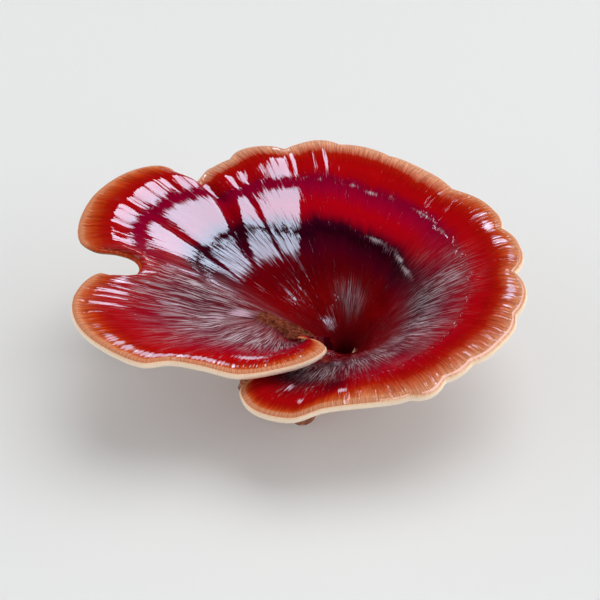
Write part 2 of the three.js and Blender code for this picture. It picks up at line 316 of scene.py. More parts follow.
def drifted(at, drift, v):
    """Where a long fold lies at the share v: it moves sideways as it sinks to the throat."""
    return at + drift * np.maximum(0, DRIFT_V - v) ** 2


def folds_at(s, v):
    """Depth of the folds in mm."""
    depth = np.zeros_like(s)
    for at, deep, half, low, drift in FOLDS:
        reach = smooth_step((v - low) / (0.9 - low) * 2)
        depth += deep * reach * bell(s, drifted(at, drift, v), half * (0.6 + 0.4 * v))
    return depth * (1 - 0.6 * smooth_step((v - 0.84) / 0.12))


print(len(FOLDS), "folds")


# %% [markdown]
# ## Height of the lacquered face
# From the side the funnel is a trumpet: steep at the throat, flatter outside, and rolled over at the
# last. The flap instead climbs steeply to its torn ridge and runs out almost level from there.

# %% Heights
TRUMPET = 1.65                   # how steep the throat is against the outer wall
ROLL = 1.6                       # mm that the face stands proud before it rolls over
ROLL_START = 0.86
FLAP_DISH = 1.5                  # mm that the flap is hollow
LAP_STEP = 0.4                   # mm that the flap's foot stands above the lip of the throat
RIDGE_V = RIDGE_ROW / (NET_ROWS - 1)


def flap_share(s):
    """0 on the funnel and 1 on the flap."""
    return smooth_step((s - bay) / RIDGE_RUN)


def top_height(s, v):
    """Height in mm of the face, before rings and folds."""
    rim = np.interp(s, stations, edge_at(stations)[:, 2]) + BEAD
    calm = np.interp(s, stations, calm_heights) + BEAD
    peak = np.interp(s, stations, crest)
    w = np.maximum(v, 0)
    roll = ROLL * (w**3 - np.maximum(0, (v - ROLL_START) / (1 - ROLL_START)) ** 2)
    funnel = THROAT[2] + (calm - THROAT[2]) * (1 - (1 - w) ** TRUMPET)
    u = np.maximum(0, (v - RIDGE_V) / (1 - RIDGE_V))
    climb = THROAT[2] + LAP_STEP + (peak - THROAT[2] - LAP_STEP) * np.sin(
        np.minimum(1, w / RIDGE_V) * math.pi / 2)
    dish = FLAP_DISH * smooth_step((edge_length - s) / 50)
    outer = peak + (calm - peak) * u - dish * np.sin(math.pi * u)
    flap = np.where(v < RIDGE_V, climb, outer)
    share = flap_share(s)
    return funnel * (1 - share) + flap * share + (rim - calm) * w**3 + roll


# %% Flesh under the face
THICK = 9                        # mm of flesh at the throat
RIDGE_THICK = 15                 # mm of flesh at the torn ridge


def bead_at(s):
    """Radius of the round edge in mm: it is thinner in the bay."""
    return BEAD * (1 - 0.45 * bell(s, bay - 10, 22, 4))


def flesh_at(s, v):
    """Upright thickness of the cap in mm."""
    w = np.clip(v, 0, 1)
    thin = 2 * bead_at(s)
    funnel = thin + (THICK - thin) * (1 - w) ** 1.3
    u = np.maximum(0, (w - RIDGE_V) / (1 - RIDGE_V))
    flap = np.where(
        w < RIDGE_V,
        THICK + (RIDGE_THICK - THICK) * w / RIDGE_V,
        thin + (RIDGE_THICK - thin) * (1 - u) ** 2,
    )
    share = flap_share(s)
    return funnel * (1 - share) + flap * share


print("flesh", 2 * BEAD, "to", THICK, "mm thick, and", RIDGE_THICK, "mm under the torn ridge")

# %% [markdown]
# ## Where the cap is dull, dark, pale or torn, and where shade and glints are painted
# A patch is a soft bell over the cap: a place along the edge, a share outwards, its half width in
# each direction, and a strength. That is the simplest way to say where an irregular growth changes,
# or where shade, sheen and glints are painted, and several patches that overlap give an outline that
# no single shape has. The torn side of the flap has straight borders, so it is found by a formula
# instead.

# %% Patches
# Where dull, rougher fibres show between the glossy ones, painted pale: a painted sheen of the pale floor
# seen at a flat angle.
BLOOM_AND_SHEEN = [
    (452, 0.58, 22, 0.26, 0.8), (485, 0.50, 32, 0.22, 0.8), (528, 0.45, 34, 0.20, 0.75),
    (565, 0.55, 26, 0.12, 0.5), (110, 0.42, 40, 0.13, 0.8), (160, 0.48, 34, 0.15, 0.8),
    (188, 0.60, 14, 0.12, 0.6), (60, 0.58, 34, 0.12, 0.6), (274, 0.15, 18, 0.055, 0.95),
]
# Where the crust is darker, a purple brown: its own aged colour in most places, and painted shade
# on the front lobe under the flap, in the patches near the start of the edge.
AGE_AND_SHADE = [
    (56, 0.69, 26, 0.20, 0.95), (66, 0.45, 26, 0.20, 0.8), (178, 0.40, 26, 0.12, 0.6),
    (215, 0.42, 30, 0.12, 0.5), (330, 0.28, 60, 0.06, 0.5), (128, 0.62, 10, 0.10, 0.4),
    (375, 0.66, 72, 0.16, 0.5), (575, 0.50, 20, 0.20, 0.3), (600, 0.15, 20, 0.30, 0.95),
    (25, 0.80, 16, 0.25, 0.9), (82, 0.80, 7, 0.14, 0.8),
]
# Painted highlights: pale glints painted into the colour where bumps too small for the mesh would catch the
# light.
PAINTED_GLINTS = [
    (551, 0.83, 8, 0.035, 1.0), (522, 0.955, 36, 0.024, 0.85), (171, 0.945, 10, 0.025, 0.65),
    (461, 0.90, 4, 0.03, 0.7), (60, 0.80, 2.2, 0.05, 0.8), (70, 0.92, 1.6, 0.03, 0.9),
    (86, 0.90, 1.8, 0.03, 0.8), (467, 0.38, 7, 0.06, 0.95), (208, 0.92, 12, 0.045, 0.45),
    (189, 0.955, 8, 0.025, 0.6), (478, 0.46, 6, 0.05, 0.6),
    (335, 0.035, 34, 0.035, 0.5), (318, 0.10, 14, 0.03, 0.4), (399, 0.30, 8, 0.05, 0.35),
]


def patches(places, s, v):
    """How much of the listed patches lies over the place: 0 to 1."""
    left = np.ones_like(s)
    for at, share, half_s, half_v, strength in places:
        left *= 1 - strength * np.exp(-(((s - at) / half_s) ** 2) - ((v - share) / half_v) ** 2)
    return 1 - left


print(len(BLOOM_AND_SHEEN), "patches of bloom,", len(AGE_AND_SHADE), "aged,", len(PAINTED_GLINTS), "with a sheen")

# %% Thickness of the varnish
# Glossy patches on the dull flap and margin, on the dull right wall, and low in the throat.
FLAP_GLOSS = [(556, 0.80, 18, 0.045, 0.9), (461, 0.90, 6, 0.04, 0.5)]
RIGHT_GLOSS = [(206, 0.92, 14, 0.05, 0.35), (30, 0.8, 30, 0.1, 0.6)]
THROAT_GLOSS = [
    (375, 0.18, 11, 0.03, 1.0), (409, 0.13, 12, 0.04, 1.0), (293, 0.13, 14, 0.03, 0.8),
    (261, 0.10, 14, 0.04, 0.7), (340, 0.04, 24, 0.03, 0.7), (345, 0.22, 8, 0.02, 0.6),
]


def gloss_at(s, v):
    """How thick the varnish is, 0 to 1. It is as thin as the thinnest of the places listed in it."""
    season = season_at(s, v)
    left = left_wall_at(s)
    inside_ring = smooth_step((0.79 - v) / 0.02)
    bare = 1 - patches(FLAP_GLOSS, s, v)
    rim = smooth_step((v - 0.90) / 0.03) * (0.72 - 0.3 * between(s, 190, 360, 20, 20))
    right = smooth_step((292 - s) / 14) * smooth_step((v - 0.66) / 0.08)
    right *= 1 - patches(RIGHT_GLOSS, s, v)
    right *= 1 - 0.5 * bell(season, OUTER_RING, 0.012)
    throat = smooth_step((0.34 - v) / 0.06) * between(s, 190, 470, 20, 20)
    back_end = 309 + 100 * np.maximum(0, 0.8 - v) ** 2
    thin_places = [
        left * bell(season, 0.765, 0.040),                          # band inside the outer ring
        0.8 * left * bell(season, INNER_RING, 0.016),               # band along the inner ring
        0.95 * between(v, 0.22, 0.46, 0.04, 0.14) * between(s, 285, 450, 20, 20),   # low left wall
        inside_ring * bell(s, drifted(344, 125, v), 4.0, 4),        # beside the long fold
        inside_ring * bell(s, drifted(334.5, 37.5, v), 1.8, 4),     # beside the back fold
        0.95 * inside_ring * bell(s, drifted(388, 75, v), 2.6, 4),  # beside the left fold
        smooth_step((s - 428) / 14) * (bare - 0.08),                # the flap
        rim * bare,                                                 # the margin
        bell(s, 450, 11, 4) * smooth_step((v - 0.5) / 0.1) * bare,  # round the bay
        throat * (0.9 - patches(THROAT_GLOSS, s, v)),               # the throat
        0.38 * between(s, 300, 440, 10, 10) * smooth_step((0.62 - v) / 0.1),        # inner left wall
        between(s, 225, back_end, 20, 2) * (v > 0.3),               # the back wall
        0.78 * right,                                               # the right wall and margin
    ]
    return 1 - np.maximum.reduce(thin_places)


def torn_at(s, v):
    """1 on the torn, crumbly side of the flap, from just outside its ridge down to the throat."""
    along = between(s, bay + 12, edge_length - 6, 26, 20)
    return along * between(v, -0.02, RIDGE_V + 0.03, 0.04, 0.035)


# %% [markdown]
# ## The cap as a mesh
# A flat grid becomes the cap: its x runs along the edge and its y from the throat outwards. It is
# extruded once, which closes it with walls all round, and each vertex remembers its place and whether
# it belongs to the face or the underside. The outer wall is then cut across and its new vertices are
# laid on a half circle, which gives the round growing edge. Rows lie closer together towards the edge,
# where the seam and the roll need them.

# %% Grid, extrusion and edge cuts
ALONG = 740                      # faces along the edge
ACROSS = 56                      # faces from the throat to the edge
EDGE_CUTS = 7
LIP_V = -0.08                    # the face dives this far inside the lip
CROWDING = 0.42                  # how much closer the rows lie at the edge
RIM_V = 0.9999                   # vertices beyond this share are on the outer wall
LIP_CURL = 2.6                   # mm that the face curls in over the lip of the throat
LIP_SLOPE = 0.82                 # mm that it sinks for each mm in
LIP_DROP = 3.5                   # mm more that its end hangs down
LEAST_FLESH = 2.2                # mm between face and underside, at the least


def cap_positions(s, v, side, lift):
    """Place in mm of points of the cap: side is 1 on the face and 0 on the underside."""
    plan = net_at(s, np.clip(v, 0, 1))
    fine = edge_at(s)[:, :2] - net_at(s, np.ones_like(v))
    plan += fine * (np.clip(v, 0, 1) ** 4)[:, None]
    inside = np.clip(v / LIP_V, 0, 1)
    inward = THROAT[:2] - plan
    inward /= np.linalg.norm(inward, axis=1)[:, None]
    dive_in = LIP_CURL * np.sin(inside * math.pi / 2)
    plan += inward * dive_in[:, None]
    top = top_height(s, v) - LIP_SLOPE * dive_in - LIP_DROP * inside**2
    bottom = np.minimum(top_height(s, v) - flesh_at(s, v), top + np.minimum(lift, 0) - LEAST_FLESH)
    rounded = (v > RIM_V) & (side > 0.001) & (side < 0.999)
    z = np.where(side > 0.5, top + lift, bottom)
    turn = (side - 0.5) * math.pi
    radius = bead_at(s)
    out = np.where(rounded, np.cos(turn) * radius, 0)
    middle = top_height(s, np.ones_like(v)) - radius
    z = np.where(rounded, middle + np.sin(turn) * radius, z)
    plan += outward_at(s)[:, :2] * out[:, None]
    return np.column_stack([plan, z])


def cap_grid():
    """The cap's topology, with each vertex's s, v and side."""
    bm = bmesh.new()
    bmesh.ops.create_grid(bm, x_segments=ALONG, y_segments=ACROSS, size=0.5)
    s_layer = bm.verts.layers.float.new("along")
    v_layer = bm.verts.layers.float.new("growth")
    side_layer = bm.verts.layers.float.new("side")
    for vert in bm.verts:
        x = vert.co.x + 0.5
        y = vert.co.y + 0.5
        vert[s_layer] = edge_length * x
        vert[v_layer] = LIP_V + (1 - LIP_V) * (y * (1 + CROWDING) - CROWDING * y**3)
    grown = bmesh.ops.extrude_face_region(bm, geom=bm.faces[:])
    for item in grown["geom"]:
        if isinstance(item, bmesh.types.BMVert):
            item[side_layer] = 1
    wall = [
        e for e in bm.edges
        if abs(e.verts[0][side_layer] - e.verts[1][side_layer]) > 0.5
        and e.verts[0][v_layer] > RIM_V
    ]
    bmesh.ops.subdivide_edges(bm, edges=wall, cuts=EDGE_CUTS, use_grid_fill=True)
    layers = (s_layer, v_layer, side_layer)
    return bm, [np.array([vert[layer] for vert in bm.verts]) for layer in layers]


# %% Finishing a piece
def finished_piece(bm, name):
    """Puts a bmesh in the scene as a smooth object that rides with the mushroom."""
    open_edges = sum(len(e.link_faces) != 2 for e in bm.edges)
    mesh = bpy.data.meshes.new(name)
    bm.to_mesh(mesh)
    bm.free()
    mesh.polygons.foreach_set("use_smooth", [True] * len(mesh.polygons))
    piece = bpy.data.objects.new(name, mesh)
    bpy.context.scene.collection.objects.link(piece)
    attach(piece, "root")
    print(name, len(mesh.polygons), "faces,", open_edges, "open edges")
    return piece


def roughen(mesh, amount, grain, seed):
    """Pushes each vertex along its normal by crumbly noise: amount in mm, grain in mm."""
    count = len(mesh.vertices)
    places = np.empty(count * 3)
    normals = np.empty(count * 3)
    mesh.vertices.foreach_get("co", places)
    mesh.vertex_normals.foreach_get("vector", normals)
    places = places.reshape(-1, 3)
    push = np.zeros(count)
    for k in np.flatnonzero(amount > 0.01):
        at = Vector(places[k] / MM / grain) + Vector((seed, 0, 0))
        push[k] = noise.fractal(at, 0.8, 2.1, 3) * amount[k] * MM
    places += normals.reshape(-1, 3) * push[:, None]
    mesh.vertices.foreach_set("co", places.ravel())
    mesh.update()


# %% The grown cap
CRUMB_RISE = 2.2                 # mm that the torn crest stands above the flap

cap_bm, (cap_s, cap_v, cap_side) = cap_grid()
torn = torn_at(cap_s, cap_v)
crest_rise = CRUMB_RISE * torn * bell(cap_v, RIDGE_V, 0.05)
lift = rings_at(cap_s, cap_v) - folds_at(cap_s, cap_v)
lift = lift * (1 - flap_share(cap_s) * (cap_v < RIDGE_V)) + crest_rise
lift *= smooth_step((1 - cap_v) / 0.02) * smooth_step(np.minimum(cap_s, edge_length - cap_s) / 8)
for vert, p in zip(cap_bm.verts, cap_positions(cap_s, cap_v, cap_side, lift)):
    vert.co = p * MM
cap = finished_piece(cap_bm, "cap")
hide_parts("fruiting_body")

low_wall = between(cap_v, -0.02, 0.36, 0.1, 0.2) * (1 - torn) * cap_side
under = (1 - cap_side) * smooth_step((0.97 - cap_v) / 0.1)
for part, amount, grain, seed in ((low_wall, 1.1, 7.0, 3.0), (torn * cap_side, 1.5, 2.4, 9.0),
                                  (under, 0.8, 6.0, 14.0)):
    roughen(cap.data, part * amount, grain, seed)

# %% [markdown]
# ## The stem
# The cap stands on a short lumpy stem with a cut foot, and the funnel's throat runs down into it. A
# sphere has the right topology for it: the lower pole is the middle of the foot, the rows go out over
# the foot and up the sides, and the upper pole turns in and becomes the floor of the throat.

# %% Stem from a sphere
# height, rise towards the back, centre x and y, radius, front buttress, left shoulder, all in mm
STEM_RINGS = np.array([
    (0, 0, -3, 0, 13.2, 11.2, 0), (2.5, 0, -3, 0, 13.6, 11.2, 0), (5, 0.4, 0, 1, 16.2, 8.0, 1),
    (8.5, 2, 2, 2, 17.7, 3, 6), (14.5, 5.5, 1, 3, 16.7, 0, 11), (17, 5.5, 1, 3, 13.5, 0, 9),
], float)
PIT = [(0.8, 5.4, 9.6), (0.86, 4.9, 7.6), (0.92, 4.0, 6.2), (1.0, 0.0, 5.2)]   # row, radius, height
FOOT_END = 0.12                  # row where the foot turns up into the side
SIDE_END = 0.72                  # row where the side turns in to the throat
BUTTRESS = (-92, 24)             # direction and spread in degrees
SHOULDER = (-138, 30)
LUMP = 0.9                       # mm that the side bulges in and out
BACK_BULGE = 5                   # mm that the stem is fuller at the back, and leaner at the front
FRONT_LOSS = 2


def bulge(turn, at, spread):
    """1 in the direction at, sinking to nothing round the stem."""
    off = np.arctan2(np.sin(turn - math.radians(at)), np.cos(turn - math.radians(at)))
    return np.exp(-((off / math.radians(spread)) ** 2))


def stem_side(turn, share):
    """A point of the stem's side, share 0 at the foot and 1 at the top."""
    q = share * (len(STEM_RINGS) - 1)
    z, rise, x, y, radius, buttress, shoulder = [
        float(np.interp(q, range(len(STEM_RINGS)), STEM_RINGS[:, k])) for k in range(7)
    ]
    reach = (
        radius + LUMP * math.sin(5 * turn + 2 * q) * math.cos(3 * turn - q)
        + BACK_BULGE * max(0, math.sin(turn)) + FRONT_LOSS * min(0, math.sin(turn))
        + buttress * bulge(turn, *BUTTRESS) + shoulder * bulge(turn, *SHOULDER)
    )
    return Vector((x + reach * math.cos(turn), y + reach * math.sin(turn), z - rise * math.cos(turn)))


def stem_point(turn, row):
    """A point of the stem: row 0 is the middle of the foot and row 1 the floor of the throat."""
    if row < FOOT_END:
        return stem_side(turn, 0) * (row / FOOT_END)
    if row < SIDE_END:
        return stem_side(turn, (row - FOOT_END) / (SIDE_END - FOOT_END))
    rows = [p[0] for p in PIT]
    radius = float(np.interp(row, rows, [p[1] for p in PIT]))
    z = float(np.interp(row, rows, [p[2] for p in PIT]))
    pit = Vector((THROAT[0] + radius * math.cos(turn), THROAT[1] + radius * math.sin(turn), z))
    blend = min(1, (row - SIDE_END) / (rows[0] - SIDE_END))
    return stem_side(turn, 1).lerp(pit, blend)


# %% The grown stem
stem_bm = bmesh.new()
bmesh.ops.create_uvsphere(stem_bm, u_segments=120, v_segments=64, radius=1)
for vert in stem_bm.verts:
    row = math.acos(max(-1, min(1, -vert.co.z))) / math.pi
    vert.co = stem_point(math.atan2(vert.co.y, vert.co.x), row) * MM
bmesh.ops.recalc_face_normals(stem_bm, faces=stem_bm.faces[:])
stem = finished_piece(stem_bm, "stem")
stem_places = np.array([vert.co for vert in stem.data.vertices]) / MM
off_axis = np.hypot(stem_places[:, 0] - THROAT[0], stem_places[:, 1] - THROAT[1])
# The pit stays smooth, and so does the foot, which is cut.
outside_pit = np.maximum(smooth_step((off_axis - 7) / 3), stem_places[:, 2] < 4)
above_foot = smooth_step((stem_places[:, 2] - 0.1) / 1.0)
roughen(stem.data, above_foot * outside_pit, 3.0, 21.0)

# %% [markdown]
# ## The root strand
# A strand of torn tissue runs under the flap, from the root of the front lobe down into the stem. It
# has no plain outline, so a stretched ball is shape enough, and its crumbly skin does the rest.

# %% Strand from an icosphere
STRAND_TOP = Vector((-24, -28.5, 23))
STRAND_BOTTOM = Vector((-4, -6, 15))
STRAND_RADIUS = 4.6
STRAND_CRUMBS = 1.3              # mm that the skin is pushed in and out

strand_bm = bmesh.new()
bmesh.ops.create_icosphere(strand_bm, subdivisions=5, radius=1)
strand_line = STRAND_BOTTOM - STRAND_TOP
lean = Vector((1, 0, 0)).rotation_difference(strand_line)
for vert in strand_bm.verts:
    x, y, z = vert.co
    stretched = Vector((x * strand_line.length / 2, y * STRAND_RADIUS, z * STRAND_RADIUS))
    vert.co = (lean @ stretched + (STRAND_TOP + STRAND_BOTTOM) / 2) * MM
strand = finished_piece(strand_bm, "strand")
roughen(strand.data, np.full(len(strand.data.vertices), STRAND_CRUMBS), 2.6, 30.0)

# %% [markdown]
# ## Coordinates for the finish
# The fibres run out from the throat and the colour bands follow the rings, so the cap's finish is
# painted in its own coordinates. A UV map holds the place along the edge and the share outwards. The
# season, the distance in from the edge, and the places where the finish changes are one attribute
# each, which a material reads by name.

# %% UV map and attributes
def write_attribute(mesh, name, values):
    layer = mesh.attributes.new(name, "FLOAT", "POINT")
    layer.data.foreach_set("value", values.astype(np.float32))


def write_uv(mesh, name, u, v):
    corners = np.empty(len(mesh.loops), int)
    mesh.loops.foreach_get("vertex_index", corners)
    layer = mesh.uv_layers.new(name=name)
    layer.data.foreach_set("uv", np.column_stack([u, v])[corners].ravel())


# %% Where the finish changes
cap_season = season_at(cap_s, cap_v)
lip = net_at(cap_s, np.zeros_like(cap_s))
rib_length = np.linalg.norm(edge_at(cap_s)[:, :2] - lip, axis=1)
# The coloured margin is narrower on the front lobe and at the tip of the flap. It gives way to plain
# crust in the bay and beside the flap's tip.
narrow = 1 + 2.1 * smooth_step((96 - cap_s) / 30) + 1.2 * smooth_step((cap_s - 500) / 40)
bared = 3.5 * bell(cap_s, bay - 6, 16, 4)
bared += 6 * smooth_step((cap_s - edge_length + 25) / 15) * smooth_step((0.95 - cap_v) / 0.1)
wrinkled = bell(cap_season, INNER_RING - 0.01, 0.03) + 1.3 * bell(cap_season, OUTER_RING, 0.016)
wrinkled += 0.5 * smooth_step((0.3 - cap_v) / 0.1)
# Painted highlights along the inner ledge and the outer ring at the back, where the lacquer's step would
# catch the light.
ledge_glint = bell(cap_season, 0.514, 0.013) * bell(cap_s, 236, 32, 4)
ledge_glint += 0.85 * bell(cap_season, OUTER_RING, 0.006) * bell(cap_s, 262, 50, 4)
# A pale sheen is painted onto the margin at the back and, fainter, at the front right.
margin_sheen = between(cap_s, 215, 352, 40, 12) + 0.25 * between(cap_s, 86, 200, 30, 30)
pleated = bell(cap_season, 0.89, 0.08) * smooth_step((cap_s - 280) / 20)
cap_attributes = {
    "season": cap_season,
    "inset": (1 - cap_v) * rib_length * narrow + bared,    # how far in the margin's colours are, in mm
    "wrinkled": wrinkled,                                  # puckers along the rings
    # rougher fibres, painted pale as a painted sheen
    "bloom_and_sheen": patches(BLOOM_AND_SHEEN, cap_s, cap_v),
    # darker purple brown: aged crust, and painted shade on the front lobe under the flap
    "age_and_shade": patches(AGE_AND_SHADE, cap_s, cap_v),
    # painted highlights: pale glints painted into the colour
    "painted_glint": patches(PAINTED_GLINTS, cap_s, cap_v),
    "gloss": gloss_at(cap_s, cap_v),
    "torn": torn,
    "ledge_glint": ledge_glint,                                          # painted highlight along the ledges at the back
    "margin_sheen": margin_sheen,                                        # painted sheen that makes the margin paler
    "pleated": np.maximum(0.12, pleated),                  # where the film lies in strokes
    "ringed": between(cap_s, 190, 450, 40, 40),            # where the rings' colours are strong
    "old_edge": between(cap_s, 205, 470, 60, 60),          # where the edge has turned peach
}
for name, values in cap_attributes.items():
    write_attribute(cap.data, name, values)
write_uv(cap.data, "growth_map", cap_s / edge_length, cap_v)
print(len(cap_attributes), "attributes, ribs", round(rib_length.min()), "to", round(rib_length.max()), "mm")


# %% [markdown]
# ## Materials
# Four helpers are enough for every finish. One turns an sRGB hex colour to linear, one adds a node
# with its settings and links, one lays colours along a value, and one starts a material.

# %% Helpers for materials
def colour(hex_code):
    """sRGB hex to linear RGBA."""
    channels = [int(hex_code[k:k + 2], 16) / 255 for k in (0, 2, 4)]
    return [c / 12.92 if c <= 0.04045 else ((c + 0.055) / 1.055) ** 2.4 for c in channels] + [1]


def add(tree, kind, inputs=None, **settings):
    """Adds a node. An input is a value or another node's output socket."""
    node = tree.nodes.new("ShaderNode" + kind)
    for name, value in settings.items():
        setattr(node, name, value)
    for socket, value in (inputs or {}).items():
        if isinstance(value, bpy.types.NodeSocket):
            tree.links.new(value, node.inputs[socket])
        else:
            node.inputs[socket].default_value = value
    return node


def bands(tree, factor, stops):
    """Colours along a value, from stops of a place and an sRGB hex colour."""
    node = add(tree, "ValToRGB", {"Fac": factor})
    elements = node.color_ramp.elements
    for k, (place, hex_code) in enumerate(stops):
        stop = elements[k] if k < 2 else elements.new(place)
        stop.position = place
        stop.color = colour(hex_code)
    return node.outputs["Color"]


def new_material(name):
    """A material with its node tree and its shader."""
    material = bpy.data.materials.new(name)
    material.use_nodes = True
    return material, material.node_tree, material.node_tree.nodes["Principled BSDF"]


# %% [markdown]
# ### Varnished crust
# The face is a hard crust of resin laid down by the fungus: a clear, very glossy film over red to
# brown flesh. The film is the shader's coat. Under it the colour goes by rings from orange at the
# margin over red and crimson to almost black in the throat. Radial fibres about half a millimetre
# wide ruffle the film, so a reflection ends in brush strokes. In places they stay dull, and there a
# pale sheen is painted into their colour, as are glints and highlights along the ledges.

# %% Crust in the coordinates of growth
FIBRE = 0.9                      # mm of edge to one fibre


def streaks(tree, growth, width, runs, start=(0, 0, 0), detail=3.0, roughness=0.5):
    """Noise drawn out along the fibres: width in mm of edge, and this many runs from lip to edge."""
    scale = (edge_length / width, runs, 1)
    space = add(tree, "Mapping", {"Vector": growth, "Scale": scale, "Location": start})
    inputs = {"Vector": space.outputs["Vector"], "Scale": 1.0, "Detail": detail, "Roughness": roughness}
    return add(tree, "TexNoise", inputs, noise_dimensions="2D").outputs["Fac"]


def centred(value, amount):
    """Noise of 0 to 1 as a push either way."""
    tree = value.id_data
    shifted = add(tree, "Math", {0: value, 1: 0.5}, operation="SUBTRACT").outputs[0]
    return add(tree, "Math", {0: shifted, 1: amount}, operation="MULTIPLY").outputs[0]


crust, tree, shader = new_material("varnished_crust")
growth = add(tree, "UVMap", uv_map="growth_map").outputs["UV"]
fibres = streaks(tree, growth, FIBRE, 5.0, roughness=0.6)
brush = streaks(tree, growth, FIBRE / 0.9, 7.0, (31, 7, 0), roughness=0.6)
fine_lines = streaks(tree, growth, FIBRE / 1.7, 9.0, (7, 3, 0), detail=4.0, roughness=0.7)
strokes = streaks(tree, growth, 2.8, 2.2, (13, 5, 0), roughness=0.6)
puckers = streaks(tree, growth, 3.4, 24.0, detail=2.5)
broad = streaks(tree, growth, 9.0, 3.0, detail=2.0)
names = ("season", "inset", "wrinkled", "bloom_and_sheen", "age_and_shade", "painted_glint", "gloss", "torn", "ledge_glint", "margin_sheen",
         "pleated", "ringed")
season, inset, wrinkled, bloom_and_sheen, age_and_shade, painted_glint, gloss, tearing, ledge_glint, margin_sheen, pleated, ringed = [
    add(tree, "Attribute", attribute_name=name).outputs["Fac"] for name in names]

# %% Colour by the rings
ragged_season = add(tree, "Math", {0: season, 1: centred(fibres, 0.05)}, operation="ADD").outputs[0]
ragged_season = add(tree, "Math", {0: ragged_season, 1: centred(broad, 0.05)}, operation="ADD").outputs[0]
inner = bands(tree, ragged_season, [
    (0.0, "64060e"), (0.08, "70040a"), (0.18, "7c0408"), (0.30, "6c0208"), (0.40, "4c0218"),
    (0.49, "2a0212"), (0.53, "3c0218"), (0.60, "b00216"), (0.65, "b80212"), (0.71, "a40228"),
    (0.76, "90022c"), (0.79, "880228"), (0.82, "a4040e"), (0.90, "b40808"),
])
plain = bands(tree, ragged_season, [
    (0.0, "64060e"), (0.14, "70040a"), (0.30, "7c020e"), (0.5, "800222"), (0.66, "940222"),
    (0.82, "a4040e"), (0.92, "b00a0a"),
])
inner = add(tree, "Mix", {"Factor": ringed, "A": plain, "B": inner}, data_type="RGBA").outputs["Result"]
# Dark purple brown is mixed in: aged crust, painted shade on the front lobe, and a painted darkening under
# the bloom so that its pale sheen stands out.
shaded = add(tree, "Math", {0: bloom_and_sheen, 1: 0.6}, operation="MULTIPLY").outputs[0]
age_and_shade = add(tree, "Math", {0: age_and_shade, 1: shaded}, operation="ADD").outputs[0]
age_and_shade = add(tree, "Math", {0: age_and_shade, 1: centred(fibres, 0.3)}, operation="ADD", use_clamp=True).outputs[0]
inner = add(tree, "Mix", {"Factor": age_and_shade, "A": inner, "B": colour("34000c")},
            data_type="RGBA").outputs["Result"]

# %% Colour of the margin
MARGIN = 12.0                    # mm over which the margin's colours turn
ragged_inset = add(tree, "Math", {0: inset, 1: centred(fibres, 2.6)}, operation="ADD").outputs[0]
ragged_inset = add(tree, "Math", {0: ragged_inset, 1: centred(broad, 2.4)}, operation="ADD").outputs[0]
margin_share = add(tree, "Math", {0: ragged_inset, 1: MARGIN}, operation="DIVIDE").outputs[0]
margin = bands(tree, margin_share, [
    (0.0, "d89470"), (0.07, "dc8e64"), (0.17, "c86036"), (0.32, "c04016"), (0.5, "b0200c"),
    (0.8, "98060c"),
])
margin_fade = add(tree, "MapRange", {"Value": margin_share, "From Min": 0.45, "From Max": 0.95})
outermost = add(tree, "MapRange", {"Value": margin_share, "From Min": 0.1, "From Max": 0.5,
                                   "To Min": 0.8, "To Max": 0.0}).outputs[0]
# Where the margin is painted paler, its palest colour is a painted sheen.
outermost = add(tree, "Math", {0: outermost, 1: margin_sheen}, operation="MULTIPLY").outputs[0]
margin = add(tree, "Mix", {"Factor": outermost, "A": margin, "B": colour("eab494")},
             data_type="RGBA").outputs["Result"]
lines = bands(tree, fine_lines, [(0.36, "9c6c64"), (0.5, "dcc8c0"), (0.6, "ffffff")])
margin = add(tree, "Mix", {"Factor": 0.6, "A": margin, "B": lines}, data_type="RGBA",
             blend_type="MULTIPLY").outputs["Result"]
face = add(tree, "Mix", {"Factor": margin_fade.outputs[0], "A": margin, "B": inner},
           data_type="RGBA").outputs["Result"]

# %% Bloom, painted sheen and painted ledge highlights
# The pale fibre colour is a painted sheen of the pale floor seen at a flat angle; the same mask also makes
# these fibres rougher.
dull_and_sheen = add(tree, "MapRange", {"Value": brush, "From Min": 0.49, "From Max": 0.58}).outputs[0]
dull_and_sheen = add(tree, "Math", {0: dull_and_sheen, 1: bloom_and_sheen}, operation="MULTIPLY").outputs[0]
sheen_veil = add(tree, "Math", {0: bloom_and_sheen, 1: 0.08}, operation="MULTIPLY").outputs[0]
dull_and_sheen = add(tree, "Math", {0: dull_and_sheen, 1: sheen_veil}, operation="ADD", use_clamp=True).outputs[0]
# The ledges get a painted highlight, mixed in with the pale fibre colour.
ledge_glint = add(tree, "Math", {0: ledge_glint, 1: centred(fine_lines, 2.4)}, operation="ADD").outputs[0]
ledge_glint = add(tree, "MapRange", {"Value": ledge_glint, "From Min": 0.45, "From Max": 0.85,
                              "To Max": 0.8}).outputs[0]
dull_and_sheen = add(tree, "Math", {0: dull_and_sheen, 1: ledge_glint}, operation="MAXIMUM").outputs[0]
pale_fibre_sheen = bands(tree, broad, [(0.35, "94707c"), (0.65, "d0c2ca")])
face = add(tree, "Mix", {"Factor": dull_and_sheen, "A": face, "B": pale_fibre_sheen},
           data_type="RGBA").outputs["Result"]

# %% Torn tissue and painted glints
CRUMBS_PER_MM = 0.9
crumb_space = add(tree, "TexCoord").outputs["Object"]
crumbs = add(tree, "TexNoise", {"Vector": crumb_space, "Scale": CRUMBS_PER_MM / MM, "Detail": 4.0,
                                "Roughness": 0.7}).outputs["Fac"]
crumb_colour = bands(tree, crumbs, [(0.3, "3c1410"), (0.5, "7e3c2a"), (0.7, "a4624a")])
tear_edge = add(tree, "Math", {0: tearing, 1: centred(crumbs, 0.8)}, operation="ADD").outputs[0]
tear_mask = add(tree, "MapRange", {"Value": tear_edge, "From Min": 0.35, "From Max": 0.5}).outputs[0]
face = add(tree, "Mix", {"Factor": tear_mask, "A": face, "B": crumb_colour},
           data_type="RGBA").outputs["Result"]
